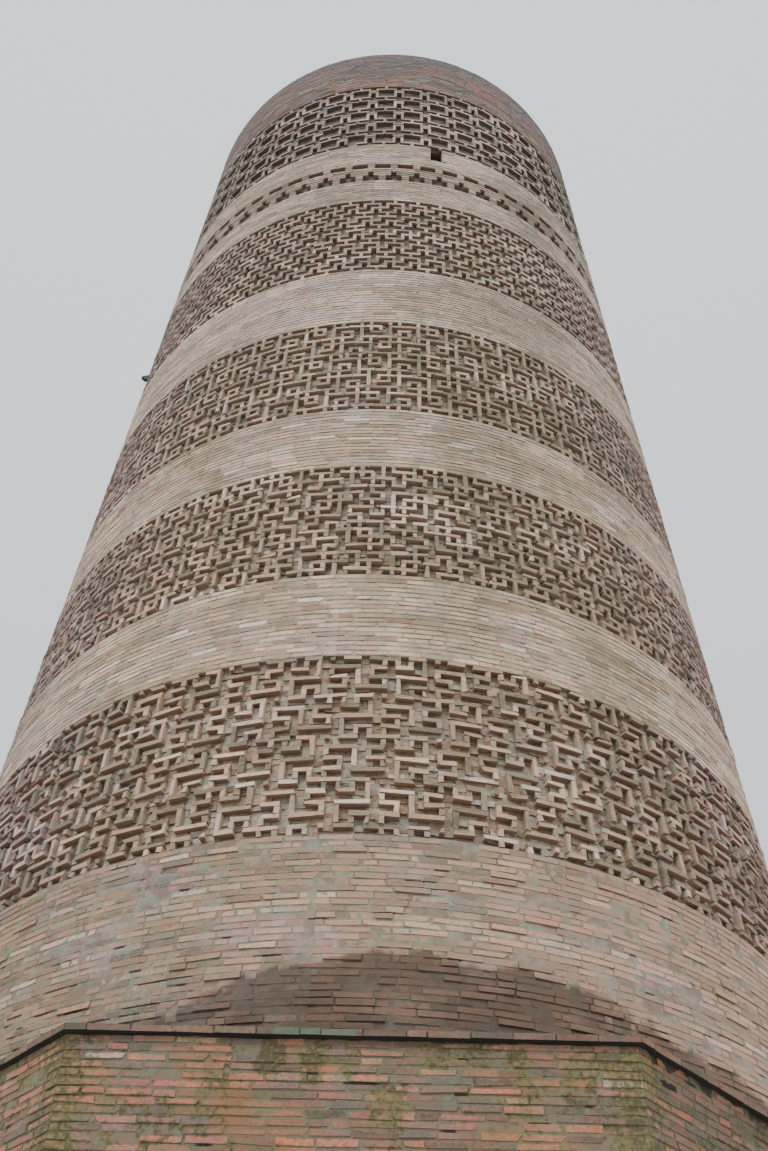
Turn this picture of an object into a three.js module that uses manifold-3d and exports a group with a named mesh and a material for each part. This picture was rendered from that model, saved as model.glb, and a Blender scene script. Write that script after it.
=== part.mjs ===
// A tapering round brick minaret on an octagonal plinth, in millimetres, +Z up.
// The origin is on the ground, on the tower's axis. The front is towards -Y.
import * as THREE from 'three';
import { mergeVertices } from 'three/addons/utils/BufferGeometryUtils.js';
import Module from 'manifold-3d';

const wasm = await Module();
wasm.setup();

// Plinth: an eight-sided block of masonry
const PLINTH_TOP = 5885;
const PLINTH_APOTHEM = 4225;
const COPING_HEIGHT = 45;
const COPING_PROJECTION = 35;

// Shaft: its face radius falls in a slight curve, as 4500 - 78.9 h + 0.385 h^2 at h metres over eye level
const EYE_LEVEL = 1600;
const RADIUS_AT_EYE_LEVEL = 4500;
const TAPER_PER_METRE = 78.9;
const TAPER_EASING = 0.385;
const FACETS = 72;

// The shaft's zones, from the plinth up: name, height of its upper edge, and what kind of face it has
const ZONES = [
  ['shaft_foot', 7500, 'plain'],
  ['pattern_band_1', 9360, 'relief'],
  ['plain_band_1', 10390, 'plain'],
  ['pattern_band_2', 12010, 'relief'],
  ['plain_band_2', 13010, 'plain'],
  ['pattern_band_3', 14770, 'relief'],
  ['plain_band_3', 16000, 'plain'],
  ['pattern_band_4', 17870, 'relief'],
  ['plain_band_4', 18470, 'plain'],
  ['slot_frieze', 18990, 'relief'],
  ['plain_band_5', 19640, 'plain'],
  ['pattern_band_5', 21750, 'relief'],
];
const RIM_TOP = 23080;

// Faces lie this far behind the true face: raked joints on plain zones, a deep ground on relief zones
const FACE_DEPTH = { plain: 10, relief: 62 };
const RAISED_DEPTH = 12;

// Main figures of the patterned bands: raised meanders of bricks, some on edge and some laid flat.
// Each path is the middle line of one figure, in columns round the shaft and rows down from the band's top.
// Every figure of one band starts a repeat further round, and spread eases the repeats apart at the front.
const MEANDERS = {
  pattern_band_1: {
    start: 1.58, spread: 0, columns: 16, repeats: 29, every: 1, rows: 34,
    path: [[12.5, 18.5], [8.5, 18.5], [8.5, 20.5], [10.5, 20.5], [10.5, 22.5]],
  },
  pattern_band_2: {
    start: 0.65, spread: 0.0155, columns: 16, repeats: 30, every: 1, rows: 29,
    path: [[2.5, 7.5], [8.5, 7.5], [8.5, 9.5], [4.5, 9.5], [4.5, 11.5]],
  },
  pattern_band_3: {
    start: 0.96, spread: 0.011, columns: 12, repeats: 36, every: 1, rows: 31,
    path: [[0.5, 13.5], [10.5, 13.5], [10.5, 15.5], [8.5, 15.5]],
  },
  pattern_band_4: {
    start: 1.3, spread: 0, columns: 6, repeats: 72, every: 3, rows: 31,
    path: [[0.5, 13.5], [4.5, 13.5], [4.5, 15.5], [6.5, 15.5]],
  },
  pattern_band_5: {
    start: 2.4, spread: 0, columns: 14, repeats: 51, every: 3, rows: 36,
    path: [[11, 15.5], [1, 15.5], [1, 20.5], [11, 20.5]],
  },
};
const MEANDER_WIDTH = 30;
const MEANDER_ROOT = 90;

// The two full courses that run through the frieze between its slots
const FRIEZE_COURSES = [18762, 18870];

// The well inside, and the platform that closes it
const WELL_RADIUS = 1500;
const DECK_TOP = 22250;
const DECK_THICKNESS = 220;
const RIM_THICKNESS = 480;
const HATCH_WIDTH = 900;
const HATCH_LENGTH = 1300;

// Entrance at the back, with a pointed head
const DOOR_WIDTH = 960;
const DOOR_SPRING = 1650;
const DOOR_HEAD = 2310;
const DOOR_CROWN_COVER = 60;
const DOOR_ARCH_STEPS = 6;

// Light holes: square-cut tunnels through one plain band, up to the underside of the patterned band over it.
// The front one lies to the right of the axis, and the back one is the same after half a turn.
const LIGHT_ZONE = 'plain_band_5';
const LIGHT_WIDTH = 165;
const LIGHT_SILL = 19260;
const LIGHT_OFFSET = 640;

// The small metal box high on the left side, seated on one facet of the recessed ground and leaning out and
// down. Its seat is given as two heights, and its outer end as two points: out of the face, and height.
const BOX_WIDTH = 50;
const BOX_SEAT = [17110, 17220];
const BOX_END = [[31, 17047], [89, 17091]];
const BOX_FACET = -14.5;

const MITRE_GAP = 0.3;
const SEAT_GAP = 0.6;

// How far a cutting shape runs past what it cuts
const OVERCUT = 1;

const BRICK = new THREE.MeshStandardMaterial({ color: 0xa08f80, roughness: 0.95, metalness: 0 });
const RELIEF_BRICK = new THREE.MeshStandardMaterial({ color: 0x7d6a5e, roughness: 0.95, metalness: 0 });
const RED_BRICK = new THREE.MeshStandardMaterial({ color: 0x96776a, roughness: 0.95, metalness: 0 });
const DARK_METAL = new THREE.MeshStandardMaterial({ color: 0x2c3f44, roughness: 0.6, metalness: 0.5 });

const rad = THREE.MathUtils.degToRad;

function faceRadius(height) {
  const h = (height - EYE_LEVEL) / 1000;
  return RADIUS_AT_EYE_LEVEL - TAPER_PER_METRE * h + TAPER_EASING * h * h;
}

// Booleans: a closed geometry as a solid, and a solid as a geometry
function toSolid(geometry) {
  const bare = geometry.clone();
  bare.deleteAttribute('normal');
  bare.deleteAttribute('uv');
  const merged = mergeVertices(bare, 1e-3);
  const corners = merged.index.array;
  const triangles = [];
  for (let i = 0; i < corners.length; i += 3) {
    const [a, b, c] = corners.slice(i, i + 3);
    if (a !== b && b !== c && c !== a) {
      triangles.push(a, b, c);
    }
  }
  const mesh = new wasm.Mesh({
    numProp: 3,
    vertProperties: new Float32Array(merged.attributes.position.array),
    triVerts: new Uint32Array(triangles),
  });
  return new wasm.Manifold(mesh);
}

function toGeometry(solid) {
  const mesh = solid.getMesh();
  const geometry = new THREE.BufferGeometry();
  geometry.setAttribute('position', new THREE.BufferAttribute(mesh.vertProperties, 3));
  geometry.setIndex(new THREE.BufferAttribute(mesh.triVerts, 1));
  geometry.computeVertexNormals();
  return geometry;
}

function box(width, depth, height, x, y, bottom) {
  return new THREE.BoxGeometry(width, depth, height).translate(x, y, bottom + height / 2);
}

// A prism over a plan outline, given as [x, y] points
function prism(outline, bottom, top) {
  const shape = new THREE.Shape(outline.map(([x, y]) => new THREE.Vector2(x, y)));
  return new THREE.ExtrudeGeometry(shape, { depth: top - bottom, bevelEnabled: false })
    .translate(0, 0, bottom);
}

// A ring round the tower's axis, from a closed profile of [radius, height] points
function ring(profile) {
  const points = [...profile, profile[0]].map(([r, z]) => new THREE.Vector2(r, z));
  return new THREE.LatheGeometry(points, FACETS).rotateX(Math.PI / 2);
}

const tower = new THREE.Group();

function add(name, geometry, material) {
  const mesh = new THREE.Mesh(geometry, material);
  mesh.name = name;
  tower.add(mesh);
  return mesh;
}

// One side of an octagonal ring in plan, with the face towards -Y, mitred at both ends
function octagonSide(innerApothem, outerApothem) {
  const slope = Math.tan(rad(22.5));
  const trim = MITRE_GAP / 2 / Math.cos(rad(22.5));
  const halfIn = innerApothem * slope - trim;
  const halfOut = outerApothem * slope - trim;
  const left = [[-halfIn, -innerApothem], [-halfOut, -outerApothem]];
  const right = [[halfOut, -outerApothem], [halfIn, -innerApothem]];
  return [...left, ...right];
}

function turned(geometry, degrees) {
  return geometry.rotateZ(rad(degrees));
}

const SIDES = ['front', 'front_right', 'right', 'back_right', 'back', 'back_left', 'left', 'front_left'];
const wallTop = PLINTH_TOP - COPING_HEIGHT;

// Plinth walls: seven whole ones, and the back one in three pieces round the entrance
function plinthWalls() {
  const outline = octagonSide(WELL_RADIUS, PLINTH_APOTHEM);
  SIDES.forEach((side, i) => {
    if (side !== 'back') {
      add(`plinth_wall_${side}`, turned(prism(outline, 0, wallTop), i * 45), RED_BRICK);
    }
  });
  const [[xIn, yIn], [xOut, yOut]] = outline;
  const half = DOOR_WIDTH / 2;
  const jamb = [[xIn, yIn], [xOut, yOut], [-half, yOut], [-half, yIn]];
  const mirrored = jamb.map(([x, y]) => [-x, y]).reverse();
  add('plinth_wall_back_left_of_door', turned(prism(mirrored, 0, DOOR_HEAD), 180), RED_BRICK);
  add('plinth_wall_back_right_of_door', turned(prism(jamb, 0, DOOR_HEAD), 180), RED_BRICK);
  add('plinth_wall_over_door', turned(prism(outline, DOOR_HEAD, wallTop), 180), RED_BRICK);
}

// The pointed head of the entrance: a filling between the jambs, cut by two arcs that meet at the crown
function doorHead() {
  const half = DOOR_WIDTH / 2 - MITRE_GAP;
  const rise = DOOR_HEAD - DOOR_SPRING - DOOR_CROWN_COVER;
  const radius = (half * half + rise * rise) / (2 * half);
  const sweep = Math.asin(rise / radius);
  const arc = [];
  for (let i = 0; i <= DOOR_ARCH_STEPS; i += 1) {
    const a = (sweep * i) / DOOR_ARCH_STEPS;
    arc.push([half - radius + radius * Math.cos(a), DOOR_SPRING + radius * Math.sin(a)]);
  }
  const left = arc.slice(0, -1).map(([x, z]) => [-x, z]);
  const outline = [...arc, ...left.reverse(), [-half, DOOR_HEAD], [half, DOOR_HEAD]];
  const shape = new THREE.Shape(outline.map(([x, z]) => new THREE.Vector2(x, z)));
  const depth = PLINTH_APOTHEM - WELL_RADIUS;
  const geometry = new THREE.ExtrudeGeometry(shape, { depth, bevelEnabled: false })
    .rotateX(Math.PI / 2)
    .translate(0, PLINTH_APOTHEM, 0);
  add('door_arch', geometry, RED_BRICK);
}

// Coping: one projecting course on top of the plinth wall, with a mitred length on each side
function coping() {
  const outline = octagonSide(WELL_RADIUS, PLINTH_APOTHEM + COPING_PROJECTION);
  SIDES.forEach((side, i) => {
    add(`coping_${side}`, turned(prism(outline, wallTop, PLINTH_TOP), i * 45), RED_BRICK);
  });
}

function shaftRing(bottom, top, depth) {
  return ring([
    [WELL_RADIUS, bottom],
    [faceRadius(bottom) - depth, bottom],
    [faceRadius(top) - depth, top],
    [WELL_RADIUS, top],
  ]);
}

// A band with a light hole at the front and one at the back: two half rings and a sill under each hole
function bandWithLights(name, bottom, top, depth) {
  const half = LIGHT_WIDTH / 2;
  const reach = RADIUS_AT_EYE_LEVEL;
  const front = LIGHT_OFFSET + half;
  const back = half - LIGHT_OFFSET;
  const rightHalf = [[front, -reach], [reach, -reach], [reach, reach], [back, reach], [back, 0], [front, 0]];
  const whole = toSolid(shaftRing(bottom, top, depth));
  const halfRing = () => toGeometry(whole.intersect(toSolid(prism(rightHalf, bottom - OVERCUT, top + OVERCUT))));
  add(`${name}_right`, halfRing(), BRICK);
  add(`${name}_left`, turned(halfRing(), 180), BRICK);

  const sillHeight = LIGHT_SILL - bottom + OVERCUT;
  const slot = box(LIGHT_WIDTH - 2 * MITRE_GAP, reach, sillHeight, LIGHT_OFFSET, -reach / 2, bottom - OVERCUT);
  const sill = () => toGeometry(whole.intersect(toSolid(slot)));
  add('light_sill_front', sill(), BRICK);
  add('light_sill_back', turned(sill(), 180), BRICK);
}

// The outline of a bar of even width along a path that turns only at right angles
function barOutline(path, width) {
  const steps = path.slice(1).map(([x, y], i) => [Math.sign(x - path[i][0]), Math.sign(y - path[i][1])]);
  const half = width / 2;
  const left = [];
  const right = [];
  path.forEach(([x, y], i) => {
    const [ax, ay] = steps[Math.max(i - 1, 0)];
    const [bx, by] = steps[Math.min(i, steps.length - 1)];
    const turns = i > 0 && i < steps.length;
    const end = i === 0 ? -1 : 1;
    const across = turns ? [-ay - by, ax + bx] : [-ay, ax];
    const along = turns ? [0, 0] : [end * ax, end * ay];
    left.push([x + half * (along[0] + across[0]), y + half * (along[1] + across[1])]);
    right.unshift([x + half * (along[0] - across[0]), y + half * (along[1] - across[1])]);
  });
  return [...left, ...right];
}

// One raised figure, bent round the shaft's sloping face
function meander({ start, spread, columns, repeats, rows, path }, repeat, bottom, top) {
  const radius = faceRadius((bottom + top) / 2);
  const columnWidth = (2 * Math.PI * radius) / (columns * repeats);
  const rowHeight = (top - bottom) / rows;
  const line = path.map(([column, row]) => [column * columnWidth, -row * rowHeight]);
  const outline = barOutline(line, MEANDER_WIDTH);
  const shape = new THREE.Shape(outline.map(([x, y]) => new THREE.Vector2(x, y)));
  const depth = MEANDER_ROOT - RAISED_DEPTH;
  const geometry = new THREE.ExtrudeGeometry(shape, { depth, bevelEnabled: false });
  const points = geometry.attributes.position;
  for (let i = 0; i < points.count; i += 1) {
    const even = rad(start) + (2 * Math.PI * repeat) / repeats + points.getX(i) / radius;
    const angle = even + spread * Math.sin(even);
    const height = top + points.getY(i);
    const r = faceRadius(height) - MEANDER_ROOT + points.getZ(i);
    points.setXYZ(i, r * Math.sin(angle), -r * Math.cos(angle), height);
  }
  return geometry;
}

function patternBand(name, bottom, top) {
  const figures = MEANDERS[name];
  let solid = toSolid(shaftRing(bottom, top, FACE_DEPTH.relief));
  for (let repeat = 0; repeat < figures.repeats; repeat += figures.every) {
    solid = solid.add(toSolid(meander(figures, repeat, bottom, top)));
  }
  add(name, toGeometry(solid), RELIEF_BRICK);
}

function frieze(name, bottom, top) {
  const [low, high] = FRIEZE_COURSES;
  const ground = FACE_DEPTH.relief;
  add(name, ring([
    [WELL_RADIUS, bottom],
    [faceRadius(bottom) - ground, bottom],
    [faceRadius(low) - ground, low],
    [faceRadius(low) - RAISED_DEPTH, low],
    [faceRadius(high) - RAISED_DEPTH, high],
    [faceRadius(high) - ground, high],
    [faceRadius(top) - ground, top],
    [WELL_RADIUS, top],
  ]), RELIEF_BRICK);
}

function shaft() {
  let bottom = PLINTH_TOP;
  for (const [name, top, kind] of ZONES) {
    if (name === LIGHT_ZONE) {
      bandWithLights(name, bottom, top, FACE_DEPTH[kind]);
    } else if (MEANDERS[name]) {
      patternBand(name, bottom, top);
    } else if (kind === 'relief') {
      frieze(name, bottom, top);
    } else {
      add(name, shaftRing(bottom, top, FACE_DEPTH[kind]), BRICK);
    }
    bottom = top;
  }
}

// Above the highest patterned band: the wall head, the platform slab with its hatch, and the rim's two halves
function crown() {
  const [, bandTop] = ZONES[ZONES.length - 1];
  const depth = FACE_DEPTH.plain;
  const slabBottom = DECK_TOP - DECK_THICKNESS;
  add('wall_head', shaftRing(bandTop, slabBottom, depth), BRICK);
  const innerRim = faceRadius(RIM_TOP) - RIM_THICKNESS;
  const slab = ring([
    [0, slabBottom],
    [innerRim - MITRE_GAP, slabBottom],
    [innerRim - MITRE_GAP, DECK_TOP],
    [0, DECK_TOP],
  ]);
  const hatch = box(HATCH_WIDTH, HATCH_LENGTH, DECK_THICKNESS * 3, 0, 0, slabBottom - DECK_THICKNESS);
  add('platform_slab', toGeometry(toSolid(slab).subtract(toSolid(hatch))), BRICK);
  const rim = toSolid(ring([
    [innerRim, slabBottom],
    [faceRadius(slabBottom) - depth, slabBottom],
    [faceRadius(RIM_TOP) - depth, RIM_TOP],
    [innerRim, RIM_TOP],
  ]));
  const reach = RADIUS_AT_EYE_LEVEL;
  const height = RIM_TOP - slabBottom + 2 * OVERCUT;
  const rightSide = box(reach, 2 * reach, height, (reach + MITRE_GAP) / 2, 0, slabBottom - OVERCUT);
  const halfRim = () => toGeometry(rim.intersect(toSolid(rightSide)));
  add('rim_wall_right', halfRim(), BRICK);
  add('rim_wall_left', turned(halfRim(), 180), BRICK);
}

// A small metal box whose back follows the slope of the wall behind it
function sideBox() {
  const [seatBottom, seatTop] = BOX_SEAT;
  const flat = Math.cos(Math.PI / FACETS);
  const seat = (height) => (faceRadius(height) - FACE_DEPTH.relief) * flat + SEAT_GAP;
  const end = BOX_END.map(([out, height]) => [faceRadius(height) + out, height]);
  const outline = [[seat(seatBottom), seatBottom], ...end, [seat(seatTop), seatTop]];
  const shape = new THREE.Shape(outline.map(([r, z]) => new THREE.Vector2(r, z)));
  const geometry = new THREE.ExtrudeGeometry(shape, { depth: BOX_WIDTH, bevelEnabled: false })
    .rotateX(Math.PI / 2)
    .translate(0, BOX_WIDTH / 2, 0);
  add('side_metal_box', turned(geometry, -90 + BOX_FACET * 360 / FACETS), DARK_METAL);
}

plinthWalls();
doorHead();
coping();
shaft();
crown();
sideBox();

export default tower;
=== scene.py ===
import math
import bpy
import numpy as np
from mathutils import Matrix, Vector


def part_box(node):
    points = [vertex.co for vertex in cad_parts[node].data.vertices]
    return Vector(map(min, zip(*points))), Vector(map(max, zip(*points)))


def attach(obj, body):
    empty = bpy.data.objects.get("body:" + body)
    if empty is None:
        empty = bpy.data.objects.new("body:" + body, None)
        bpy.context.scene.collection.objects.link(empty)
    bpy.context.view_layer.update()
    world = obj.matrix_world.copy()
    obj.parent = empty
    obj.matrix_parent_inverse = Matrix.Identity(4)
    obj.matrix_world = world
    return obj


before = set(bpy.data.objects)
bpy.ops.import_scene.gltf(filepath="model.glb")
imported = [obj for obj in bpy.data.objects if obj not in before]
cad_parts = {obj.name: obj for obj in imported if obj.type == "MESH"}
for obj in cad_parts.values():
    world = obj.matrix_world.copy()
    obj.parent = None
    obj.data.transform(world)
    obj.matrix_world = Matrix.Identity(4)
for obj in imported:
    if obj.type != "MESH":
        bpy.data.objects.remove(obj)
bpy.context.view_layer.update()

# Heights, radii and half widths of the tower's parts, read from the frame, in metres
PLINTH_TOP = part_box("coping_front")[1].z
COPING_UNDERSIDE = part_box("coping_front")[0].z
PLINTH_APOTHEM = -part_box("plinth_wall_front")[0].y
COPING_APOTHEM = -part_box("coping_front")[0].y
WELL_RADIUS = -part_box("plinth_wall_front")[1].y
FOOT_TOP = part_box("shaft_foot")[1].z
DECK_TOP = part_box("platform_slab")[1].z
RIM_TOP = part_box("rim_wall_right")[1].z
RIM_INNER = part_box("platform_slab")[1].x
DOOR_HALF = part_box("door_arch")[1].x
DOOR_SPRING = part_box("door_arch")[0].z
DOOR_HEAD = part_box("door_arch")[1].z
LIGHT_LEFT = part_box("light_sill_front")[0].x
LIGHT_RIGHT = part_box("light_sill_front")[1].x
LIGHT_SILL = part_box("light_sill_front")[1].z

# The shaft's face radius falls in a slight curve with height over eye level
EYE_LEVEL = 1.6
RADIUS_AT_EYE_LEVEL = 4.5
TAPER = 0.0789
TAPER_EASING = 0.000385

# One thin square brick and its joints: what shows of its height depends on how full the joints are
BRICK_LENGTH = 0.245
BRICK_HEIGHT = 0.042
FOOT_BRICK_HEIGHT = 0.0415
PLINTH_BRICK_HEIGHT = 0.0385
RAISED_BRICK_HEIGHT = 0.039
COURSE = 0.0562
JOINT = 0.012
BRICK_BED = 0.07
THIN_BED = 0.06
BED_SPREAD = 0.0018
HEADER_SHARE = 0.14
ROOM_BY_HEADERS = 1.08
LENGTH_SPREAD = 0.035
SHIFT = 0.06
CHIP_LENGTHS = (0.006, 0.035)
LONGEST_CHIP = 0.3

# Mortar stands this far behind the shaft's true face, and laps a little past each zone
MORTAR_DEPTH = 0.0092
SKIN_LAP = 0.0015
SKIN_FACETS = 360

# Raised bricks: how far they stand out of the recessed ground and run into it, how long they get, the gaps
# at an upright's ends, and how many have broken off and how far back
RELIEF_DEPTH = 0.062
RAISED_BED = 0.025
LONGEST_FLAT = 0.275
LONGEST_UPRIGHT = 0.27
UPRIGHT_GAP = 0.003
BAND_EDGE_GAP = 0.002
BROKEN_SHARE = 0.012
BROKEN_BACK = (0.02, 0.045)

# The small bricks of the recessed ground
GROUND_BRICK = 0.15
GROUND_BED = 0.03
GROUND_JOINT = 0.003

# The octagon: the angle from side to side, and half a side's length where the apothem is 1
EIGHTH = math.radians(45)
HALF_SIDE = math.tan(EIGHTH / 2)
SIDES = ["front", "front_right", "right", "back_right", "back", "back_left", "left", "front_left"]

# Damp foot of the shaft: the height that it is measured from, the four waves of its upper edge, and the
# shares of its bricks that are worn back or stand proud, and how far
DAMP_BASE = 5.78
DAMP_MEAN = 0.49
DAMP_SWING = 0.29
DAMP_PEAK = math.radians(9)
WORN_SHARE = 0.10
WORN_FRONT = -0.0135
PROUD_SHARE_DAMP = 0.22
PROUD_SHARE_DRY = 0.05
PROUD_EXTRA = (0.004, 0.011)


def heights(node):
    low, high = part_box(node)
    return low.z, high.z


def course_pitch(bottom, top):
    """Height of one course, with whole courses from bottom to top."""
    return (top - bottom) / round((top - bottom) / COURSE)


def face_radius(z):
    """For heights as numbers, arrays or shader values."""
    h = z - EYE_LEVEL
    return RADIUS_AT_EYE_LEVEL - TAPER * h + TAPER_EASING * h * h


# Walls: each maps metres or radians along, height, and distance out of the face, to points

def on_shaft(along, up, out):
    r = face_radius(up) + out
    return np.stack([r * np.sin(along), -r * np.cos(along), up], -1)


def on_spread_shaft(spread):
    """The shaft with its pattern eased apart at the front and closer together behind."""
    def wall(along, up, out):
        return on_shaft(along + spread * np.sin(along), up, out)

    return wall


def on_plinth(side):
    turn = side * EIGHTH

    def wall(along, up, out):
        apothem = PLINTH_APOTHEM + out
        edge = apothem * HALF_SIDE - MITRE_GAP
        x, y = np.clip(along, -edge, edge), -apothem
        across = x * math.cos(turn) - y * math.sin(turn)
        return np.stack([across, x * math.sin(turn) + y * math.cos(turn), up], -1)

    return wall


def on_inner_ring(radius):
    def wall(along, up, out):
        r = radius - out
        return np.stack([-r * np.sin(along), -r * np.cos(along), up], -1)

    return wall


def on_ring_top(radius, height):
    def wall(along, inward, out):
        r = radius - inward
        return np.stack([r * np.sin(along), -r * np.cos(along), height + out + 0 * along], -1)

    return wall


def on_floor(height):
    def wall(x, y, out):
        return np.stack([x, y, height + out + 0 * x], -1)

    return wall


# A brick's corners run over (along, up, out), and its six faces look outwards
CORNERS = np.array([[i >> 2 & 1, i >> 1 & 1, i & 1] for i in range(8)])
FACES = np.array([[0, 1, 3, 2], [4, 6, 7, 5], [0, 4, 5, 1], [2, 3, 7, 6], [0, 2, 6, 4], [1, 5, 7, 3]])
FRONT_CORNERS = np.flatnonzero(CORNERS[:, 2])


def placed(name, data):
    """Puts a new object in the scene."""
    made = bpy.data.objects.new(name, data)
    bpy.context.scene.collection.objects.link(made)
    return made


class Bricks:
    """A pile of bricks laid on walls, joined in one mesh."""

    def __init__(self, seed):
        self.random = np.random.default_rng(seed)
        self.corners = []
        self.marks = {}

    def lay(self, wall, along, up, out, metre=1.0, wobble=0.0015, ripple=0.0012, yaw=0.0015,
            chipped=0.0, chip_depth=0.4, fresh=0.0, tone=None):
        """along, up and out are pairs of arrays; metre is how much of along is one metre.
        wobble shakes the corners in the face's plane, and ripple out of it."""
        n = len(along[0])
        if n == 0:
            return
        pairs = [np.broadcast_to(np.stack(np.broadcast_arrays(*pair), -1), (n, 2))
                 for pair in (along, up, out)]
        spot = [pair[:, CORNERS[:, k]] for k, pair in enumerate(pairs)]
        shake = self.random.normal(0, 1, (3, n, 8)) * np.array([wobble, wobble, ripple])[:, None, None]
        shake[2] += self.random.normal(0, yaw, (n, 1)) * (2 * CORNERS[:, 0] - 1)
        shake[2] *= CORNERS[:, 2]
        length = (pairs[0][:, 1:] - pairs[0][:, :1]) / metre
        height = pairs[1][:, 1:] - pairs[1][:, :1]
        broken = np.flatnonzero(self.random.random(n) < chipped)
        corner = self.random.choice(FRONT_CORNERS, len(broken))
        loss = self.random.uniform(*CHIP_LENGTHS, len(broken))
        loss = np.minimum(loss, length[broken, 0] * LONGEST_CHIP)
        shake[0, broken, corner] += loss * (1 - 2 * CORNERS[corner, 0])
        shake[2, broken, corner] -= loss * chip_depth
        self.corners.append(wall(spot[0] + shake[0] * metre, spot[1] + shake[1], spot[2] + shake[2]))
        tone = self.random.random(n) if tone is None else tone
        marks = {
            "tone": tone[:, None], "fresh": np.broadcast_to(fresh, n)[:, None],
            "from_start": length * CORNERS[:, 0], "from_end": length * (1 - CORNERS[:, 0]),
            "from_bed": height * CORNERS[:, 1], "from_top": height * (1 - CORNERS[:, 1]),
        }
        for mark, value in marks.items():
            self.marks.setdefault(mark, []).append(np.broadcast_to(value, (n, 8)))

    def build(self, name, finish):
        corners = np.concatenate(self.corners)
        n = len(corners)
        quads = (FACES[None] + 8 * np.arange(n)[:, None, None]).reshape(-1, 4)
        mesh = bpy.data.meshes.new(name)
        mesh.vertices.add(8 * n)
        mesh.vertices.foreach_set("co", corners.astype(np.float32).ravel())
        mesh.loops.add(quads.size)
        mesh.loops.foreach_set("vertex_index", quads.ravel().astype(np.int32))
        mesh.polygons.add(len(quads))
        mesh.polygons.foreach_set("loop_start", np.arange(0, quads.size, 4, dtype=np.int32))
        mesh.update(calc_edges=True)
        mesh.shade_flat()
        for mark, values in self.marks.items():
            layer = mesh.attributes.new(mark, "FLOAT", "POINT")
            layer.data.foreach_set("value", np.concatenate(values).astype(np.float32).ravel())
        mesh.materials.append(finish)
        piece = placed(name, mesh)
        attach(piece, "root")


def drift(random, across, up, length=0.5, height=0.07, waves=24):
    """A smooth random field from about -1 to 1, long along the courses and short across them."""
    total = np.zeros_like(across)
    for _ in range(waves):
        a, b = random.normal(0, 1 / length), random.normal(0, 1 / height)
        total += np.sin(a * across + b * up + random.uniform(0, 2 * math.pi))
    return total / math.sqrt(waves)


def course(random, total, brick=BRICK_LENGTH + JOINT, joint=JOINT, first=1.0):
    """Starts and ends of the bricks of one course: stretchers with a header, half as long, now and then."""
    count = max(1, round(total / brick * ROOM_BY_HEADERS))
    lengths = np.where(random.random(count) < HEADER_SHARE, 0.5, 1.0) * random.normal(1, LENGTH_SPREAD, count)
    lengths[0] *= first
    edges = np.concatenate([[0], np.cumsum(lengths)])
    edges = edges / edges[-1] * total
    return np.array([edges[:-1] + joint / 2, edges[1:] - joint / 2])


def restored(random, across, up, share):
    """Runs of paler, newer bricks."""
    return np.clip((drift(random, across, up) - (1.5 - 1.9 * share)) * 2.2, 0, 1)


# Plain zones of the shaft

def holes_at(bottom, top):
    """Azimuths kept free of bricks by the light holes, as (middle, half width)."""
    if top <= LIGHT_SILL or bottom >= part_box("plain_band_5_left")[1].z:
        return []
    r = face_radius(LIGHT_SILL)
    left, right = math.asin(LIGHT_LEFT / r), math.asin(LIGHT_RIGHT / r)
    middle, half = (left + right) / 2, (right - left) / 2 + SKIN_LAP / r
    return [(middle, half), (middle + math.pi, half)]


def trimmed(start, end, holes, least=0.012):
    """Cuts a course's bricks back from the holes."""
    for middle, half in holes:
        where = (start - middle + math.pi) % (2 * math.pi) - math.pi
        length = end - start
        before = (where < -half) & (where + length > -half)
        inside = (where >= -half) & (where < half)
        end = np.where(before, start + (-half - where), end)
        start = np.where(inside, start + (half - where), start)
    keep = end - start > least
    return start[keep], end[keep]


def mortar_skin(name, bottom, top, finish):
    """A finely rounded bed of mortar behind the bricks' faces."""
    pile = Bricks(0)
    edges = np.linspace(0, 2 * math.pi, SKIN_FACETS + 1)
    levels = [bottom, top]
    if bottom < LIGHT_SILL < top:
        levels = [bottom, LIGHT_SILL, top]
    for low, high in zip(levels[:-1], levels[1:]):
        start, end = trimmed(edges[:-1], edges[1:], holes_at(low + 0.01, high), 0.0)
        pile.lay(on_shaft, (start, end), (low - SKIN_LAP, high + SKIN_LAP), (-BRICK_BED, -MORTAR_DEPTH),
                 wobble=0, yaw=0)
    pile.build(name, finish)


def wall_bricks(name, bottom, top, finish, seed, share=0.5, ragged=None, height=BRICK_HEIGHT, rough=1.0,
                proud=0.0055):
    """proud is how far the bricks stand out of their mortar."""
    pile = Bricks(seed)
    pitch = course_pitch(bottom, top)
    for i in range(round((top - bottom) / pitch)):
        low = bottom + i * pitch + (pitch - height) / 2
        r = face_radius(low)
        start, end = course(pile.random, 2 * math.pi * r) / r + pile.random.uniform(0, SHIFT)
        start, end = trimmed(start, end, holes_at(low, low + pitch))
        n = len(start)
        front = pile.random.normal(proud - MORTAR_DEPTH, 0.0014 * rough, n)
        middle = (start + end) / 2
        if ragged is not None:
            front = ragged(pile.random, middle, low, front)
        lift = pile.random.normal(0, BED_SPREAD * rough, n)
        crest = low + lift + height + pile.random.normal(0, BED_SPREAD * rough, n)
        fresh = restored(np.random.default_rng(seed), middle * r, low, share)
        pile.lay(on_shaft, (start, end), (low + lift, crest), (-BRICK_BED, front),
                 metre=1 / r, wobble=0.0022 * rough, ripple=0.0008 * rough, yaw=0.001 * rough,
                 chipped=0.2 * rough, chip_depth=0.05, fresh=fresh)
    pile.build(name, finish)


def damp_height(azimuth):
    """Upper edge of the damp foot, over its base height: high at the front, back and both flanks."""
    swing = np.cos(4 * (azimuth - DAMP_PEAK))
    return DAMP_MEAN + DAMP_SWING * swing + 0.03 * np.sin(23 * azimuth) + 0.02 * np.sin(57 * azimuth + 1)


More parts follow.
